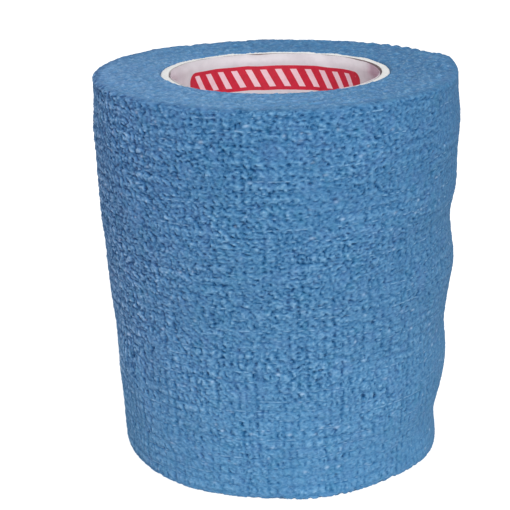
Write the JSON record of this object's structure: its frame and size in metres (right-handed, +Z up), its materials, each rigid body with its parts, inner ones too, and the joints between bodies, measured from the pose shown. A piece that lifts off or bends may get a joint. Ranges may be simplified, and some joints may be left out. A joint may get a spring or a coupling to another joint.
{
  "type": "cohesive bandage roll",
  "caption": "Roll of blue crinkled self-gripping elastic bandage wound on a white card core with a printed paper liner, standing on its end.",
  "frame": {"origin": "middle of the base, on the axis of the roll", "axes": "+Z up along the roll's axis; +X to the right and -Y towards the viewer as the roll stands in the picture"},
  "size_m": [0.0708, 0.0718, 0.0752],
  "materials": {
    "bandage_cloth": "matte crinkled elastic cloth",
    "core_card": "matte white card",
    "printed_paper": "coated printed paper"
  },
  "bodies": {
    "root": {"bandage_roll": "bandage_cloth", "core_tube": "core_card", "core_liner": "printed_paper"}
  },
  "joints": []
}
